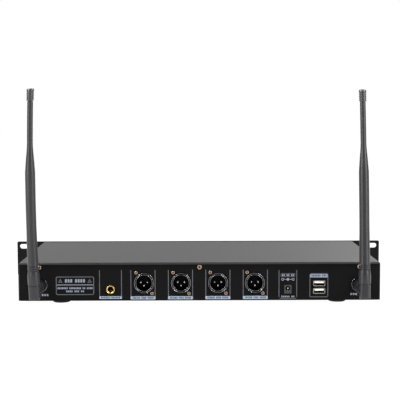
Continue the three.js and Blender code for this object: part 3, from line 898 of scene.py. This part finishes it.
def build_buttons():
    for i, spot in enumerate(SELECTS, 1):
        body = f"select_button_{i}"
        place = on_front(spot.x, spot.z - UNDER)
        profile = [(0, -1.3), (1.2, -1.35), (2.2, -1.5), (2.5, -1.1), (2.5, 5.8), (4, 5.8), (4, 6.8)]
        profile += [(1.2, 6.8), (1.2, 9.4), (0, 9.4)]
        piece(f"select_cap_{i}", lathe(profile, 0.2, 48), control_plastic, place, body=body, nodes=[body])
    place = on_front(POWER.x, POWER.z - UNDER)
    cap = plate(rounded(14.4, 8.4, 1.4), -3.5, 6, bevel=0.6)
    piece("power_cap", cap, control_plastic, place, body="power_button", nodes=["power_button"])
    shaft = block((-1.5, 5.5, -1.5), (1.5, 13, 1.5), 0.2)
    piece("power_shaft", shaft, control_plastic, place, body="power_button")
    symbol = plate(circle(1.7, steps=40), -3.58, -3.4, [circle(1.3, steps=40)], 0)
    piece("power_symbol", symbol, ink_white, place, body="power_button")


def build_window():
    low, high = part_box("display_window")
    outline = rounded((high.x - low.x) / MM, (high.z - low.z) / MM, 2.7, WINDOW.x, WINDOW.z, 8)
    lens = plate(outline, PANEL_LOW.y, PANEL_HIGH.y - 0.2, bevel=0.3)
    piece("window_lens", lens, smoke, nodes=["display_window"])
    for i, spot in enumerate(KNOBS, 1):
        middle = (spot.x + SELECTS[i - 1].x) / 2
        outline = rounded(44, 12.4, 0.6, middle, WINDOW.z)
        glass = plate(outline, PANEL_HIGH.y + 2.4, PANEL_HIGH.y + 3.2, bevel=0.2)
        piece(f"display_glass_{i}", glass, display_glass)


# Printing
PRINT_PITCH, SOCKET_PITCH = 42.8, 42.3  # the printing is spaced slightly wider than the sockets


def bars(name, boxes, surface, out=0.08, front=False):
    """Flat printed shapes, as (x0, x1, z0, z1) boxes on the rear wall or the front panel."""
    parts = []
    for x0, x1, z0, z1 in boxes:
        corner = min(x1 - x0, z1 - z0) * 0.2
        outline = rounded(x1 - x0, z1 - z0, corner, (x0 + x1) / 2, (z0 + z1) / 2, 2)
        low, high = (-out, 0.05) if front else (-0.05, out)
        parts.append(plate(outline, low, high, bevel=0))
    place = on_front(0, 0) if front else on_rear(0, 0)
    return piece(name, merged(parts), surface, place)


def words(x0, x1, z0, z1, counts):
    """Greeked lettering: plain blocks grouped like words, filling a width."""
    total = sum(counts) + 0.8 * (len(counts) - 1)
    pitch = (x1 - x0) / total
    blocks = []
    x = x0
    for count in counts:
        for _ in range(count):
            blocks.append((x + pitch * 0.14, x + pitch * 0.86, z0, z1))
            x += pitch
        x += pitch * 0.8
    return blocks


def outline_frame(width, height, corner, line, x, z):
    """A thin printed frame with rounded corners."""
    inner = rounded(width - 2 * line, height - 2 * line, max(corner - line, 0.2), x, z, 6)
    return plate(rounded(width, height, corner, x, z, 6), -0.05, 0.08, [inner], 0)


def build_printing():
    """Lines, bands and greeked labels round the sockets."""
    line = 0.85
    uprights, bands, dark, pale = [], [], [], []

    def pair_of_lines(middle, half, low, high):
        for side in (-1, 1):
            edge = middle + side * (half - line / 2)
            uprights.append((edge - line / 2, edge + line / 2, low, high))

    for spot in SOCKETS:
        middle = 0.4 + spot.x * PRINT_PITCH / SOCKET_PITCH
        pair_of_lines(middle, 14.25, 5.0, 35.3)
        bands.append((middle - 14.25, middle + 14.25, 1.4, 5.0))
        dark += words(middle - 12.2, middle + 12.2, 2.1, 4.4, [5, 4, 6])
    x = PHONE.x
    pair_of_lines(x, 12.95, 5.0, 35.3)
    bands.append((x - 12.95, x + 12.95, 2.1, 5.2))
    dark += words(x - 11.2, x + 11.2, 2.7, 4.6, [6, 6])
    pair_of_lines(DC.x, 10.57, 3.6, 34.8)
    uprights.append((DC.x - 9.4, DC.x + 9.4, 1.6, 1.6 + line))
    pale += words(DC.x - 7.8, DC.x + 7.8, 3.2, 5.1, [2, 5])
    bands.append((USB.x - 10.5, USB.x + 11.1, 26.2, 30.4))
    dark += words(USB.x - 8.6, USB.x + 9.2, 27.0, 29.5, [3, 6])
    for jack in JACKS.values():
        pale += words(jack.x - 9.5, jack.x + 9.5, 5.6, 8.0, [3, 3])
    bars("print_lines", uprights, ink_line)
    bars("print_bands", bands, ink_band)
    bars("print_band_text", dark, ink_dark, 0.12)
    bars("print_small_text", pale, ink_text)
    frames = merged([
        outline_frame(21.4, 27.6, 1.6, line, USB.x + 0.3, 17.1),
        outline_frame(16.4, 4.2, 1.0, 0.6, DC.x, 28.9),
    ])
    piece("print_frames", frames, ink_line, on_rear(0, 0))
    bars("print_rating", words(DC.x - 6.9, DC.x + 6.9, 27.9, 29.9, [2, 2, 2]), ink_text, 0.1)
    build_polarity_mark(24.0)
    build_notice(142.3, 17.4)


def build_polarity_mark(z):
    """Three small circles joined by lines, the middle one solid."""
    x = DC.x
    parts = []
    for step in (-1, 0, 1):
        centre_x = x + step * 6.0
        hole = [circle(0.9, centre_x, z, 24)] if step else []
        parts.append(plate(circle(1.55, centre_x, z, 32), -0.05, 0.08, hole, 0))
    for low, high in ((-4.5, -1.5), (1.5, 4.5)):
        parts.append(plate(rounded(high - low, 0.5, 0.1, x + (low + high) / 2, z, 2), -0.05, 0.08, bevel=0))
    piece("print_polarity", merged(parts), ink_text, on_rear(0, 0))


def build_notice(x, z):
    """A framed notice of two greeked rows under a heading, with a plain triangle at each end."""
    width, height = 43.6, 21.2
    parts = [outline_frame(width, height, 2.2, 0.9, x, z)]
    for side in (-1, 1):
        cx, cz = x + side * 16.8, z + 5.1
        outer = polygon(2.9, 3, cx, cz, math.pi / 2)
        inner = polygon(1.3, 3, cx, cz, math.pi / 2)
        parts.append(plate(outer, -0.05, 0.08, [inner], 0))
    piece("print_notice_frame", merged(parts), ink_line, on_rear(0, 0))
    rows = [(x - width / 2 + 0.8, x + width / 2 - 0.8, z + 0.6, z + 1.4)]
    rows += words(x - 11.8, x + 11.8, z + 3.7, z + 7.6, [4, 3])
    rows += words(x - 20.2, x + 20.2, z - 3.9, z - 1.8, [4, 2, 8, 7])
    rows += words(x - 10.5, x + 10.5, z - 7.4, z - 5.4, [2, 3, 4])
    bars("print_notice_text", rows, ink_text)


def build_front_printing():
    """A dial of dots round each knob, a label over each button, and the channel numbers."""
    marks = []
    for spot in KNOBS:
        for i in range(11):
            angle = math.radians(-60 + 30 * i)
            x, z = spot.x + 8.6 * math.cos(angle), spot.z - UNDER + 8.6 * math.sin(angle)
            if z < 20.5:
                marks.append((x - 0.3, x + 0.3, z - 0.3, z + 0.3))
    for spot in SELECTS:
        z = spot.z - UNDER
        marks += words(spot.x - 4, spot.x + 4, z + 4.6, z + 5.9, [6])
    bars("print_scales", marks, ink_white, front=True)
    for i, spot in enumerate(SELECTS, 1):
        numeral(str(i), spot.x - 8.5, spot.z - UNDER - 1.8)
    light = lathe([(0, -0.3), (1.0, -0.3), (1.5, -0.1), (1.5, 0.5), (0, 0.5)], 0.2, 32)
    piece("power_lamp", light, ink_white, on_front(POWER.x + 14, POWER.z - UNDER))


def numeral(text, x, z, size=4.0):
    """A digit printed on the front panel."""
    curve = bpy.data.curves.new(f"channel_{text}", "FONT")
    curve.body = text
    curve.size = size * MM
    curve.extrude = 0.04 * MM
    curve.align_x = "CENTER"
    writing = bpy.data.objects.new(f"channel_{text}_curve", curve)
    bpy.context.scene.collection.objects.link(writing)
    bpy.context.view_layer.update()
    evaluated = writing.evaluated_get(bpy.context.evaluated_depsgraph_get())
    mesh = bpy.data.meshes.new_from_object(evaluated)
    bpy.data.objects.remove(writing)
    mesh.transform(Matrix.Rotation(math.pi / 2, 4, "X"))
    mesh.transform(Matrix.Translation(on_front(x, z, 0.02).translation * MM))
    obj = bpy.data.objects.new(f"print_channel_{text}", mesh)
    bpy.context.scene.collection.objects.link(obj)
    settle(obj, ink_white)


# Stage
ROOM = 0.07  # how bright the studio round the unit is


def build_stage():
    """A plain pale floor that glows, in a dim room that looks white to the camera."""
    floor_mesh = bmesh.new()
    bmesh.ops.create_grid(floor_mesh, x_segments=1, y_segments=1, size=12000)
    floor = raw_object("studio_floor", floor_mesh, Matrix.Translation((0, 0, -0.2)))
    material = bpy.data.materials.new("studio_white")
    material.use_nodes = True
    tree = material.node_tree
    shader = tree.nodes["Principled BSDF"]
    shader.inputs["Base Color"].default_value = (0.12, 0.12, 0.12, 1)
    shader.inputs["Roughness"].default_value = 0.9
    shader.inputs["Specular IOR Level"].default_value = 0.0
    shader.inputs["Emission Color"].default_value = (1, 1, 1, 1)
    shader.inputs["Emission Strength"].default_value = 1.0
    floor.data.materials.append(material)

    world = bpy.data.worlds.new("studio")
    world.use_nodes = True
    tree = world.node_tree
    shade = tree.nodes["Background"]
    shade.inputs["Color"].default_value = (1, 1, 1, 1)
    shade.inputs["Strength"].default_value = ROOM
    seen = tree.nodes.new("ShaderNodeBackground")
    seen.inputs["Strength"].default_value = 1.0
    seen.inputs["Color"].default_value = (1, 1, 1, 1)
    path = tree.nodes.new("ShaderNodeLightPath")
    mix = tree.nodes.new("ShaderNodeMixShader")
    tree.links.new(path.outputs["Is Camera Ray"], mix.inputs["Fac"])
    tree.links.new(shade.outputs["Background"], mix.inputs[1])
    tree.links.new(seen.outputs["Background"], mix.inputs[2])
    tree.links.new(mix.outputs["Shader"], tree.nodes["World Output"].inputs["Surface"])
    bpy.context.scene.world = world
    bpy.context.scene.view_settings.view_transform = "Standard"


def softbox(name, place, target, size, power):
    """A rectangular lamp: places and sizes in metres, power in watts."""
    light = bpy.data.lights.new(name, "AREA")
    light.shape = "RECTANGLE"
    light.size, light.size_y = size
    light.energy = power
    lamp = bpy.data.objects.new(name, light)
    lamp.location = place
    lamp.rotation_euler = (Vector(target) - Vector(place)).to_track_quat("-Z", "Y").to_euler()
    bpy.context.scene.collection.objects.link(lamp)


def build_lights():
    softbox("key_rear_left", (0.95, 0.55, 0.85), (0, 0.05, 0.03), (0.7, 0.7), 10.8)
    softbox("key_rear_right", (-0.95, 0.55, 0.85), (0, 0.05, 0.03), (0.7, 0.7), 10.8)
    softbox("strip_left", (0.50, 0.20, 0.68), (0.18, 0.12, 0.20), (0.25, 0.4), 6)
    softbox("strip_right", (-0.50, 0.20, 0.68), (-0.18, 0.12, 0.20), (0.25, 0.4), 6)
    softbox("side_left", (0.95, 0.75, 0.36), (0.1, 0.1, 0.2), (0.5, 0.6), 3.5)
    softbox("side_right", (-0.95, 0.75, 0.36), (-0.1, 0.1, 0.2), (0.5, 0.6), 3.5)
    softbox("backdrop", (0, -2.6, 0.55), (0, 0, 0.05), (4.0, 1.6), 15)
    softbox("key_front", (-0.8, -1.5, 1.2), (0, -0.05, 0.05), (1.0, 1.0), 5)


def build_camera():
    """The camera stands behind the unit, slightly to the +X side, and looks a little down."""
    distance, sideways_mm, height = 1173.7, 8.05, 208.0
    yaw, pitch, roll = 0.0075, 0.0788, -0.0022
    camera = bpy.data.cameras.new("camera")
    camera.sensor_width = 36
    camera.lens = 93.26
    camera.clip_start, camera.clip_end = 0.05, 60
    obj = bpy.data.objects.new("camera", camera)
    forward = Vector((-math.sin(yaw) * math.cos(pitch), -math.cos(yaw) * math.cos(pitch), -math.sin(pitch)))
    turn = forward.to_track_quat("-Z", "Y").to_matrix().to_4x4() @ Matrix.Rotation(roll, 4, "Z")
    place = Vector((sideways_mm, REAR + distance, UNDER + height)) * MM
    obj.matrix_world = Matrix.Translation(place) @ turn
    bpy.context.scene.collection.objects.link(obj)
    bpy.context.scene.camera = obj


build_camera()
build_stage()
build_lights()
build_tray()
build_rear_wall()
build_cover()
build_front_panel()
build_screws()
build_feet()
build_xlr()
build_phone_jack()
build_dc_jack()
build_usb()
build_antenna("a")
build_antenna("b")
build_knobs()
build_buttons()
build_window()
build_printing()
build_front_printing()
dress_carried_nodes()
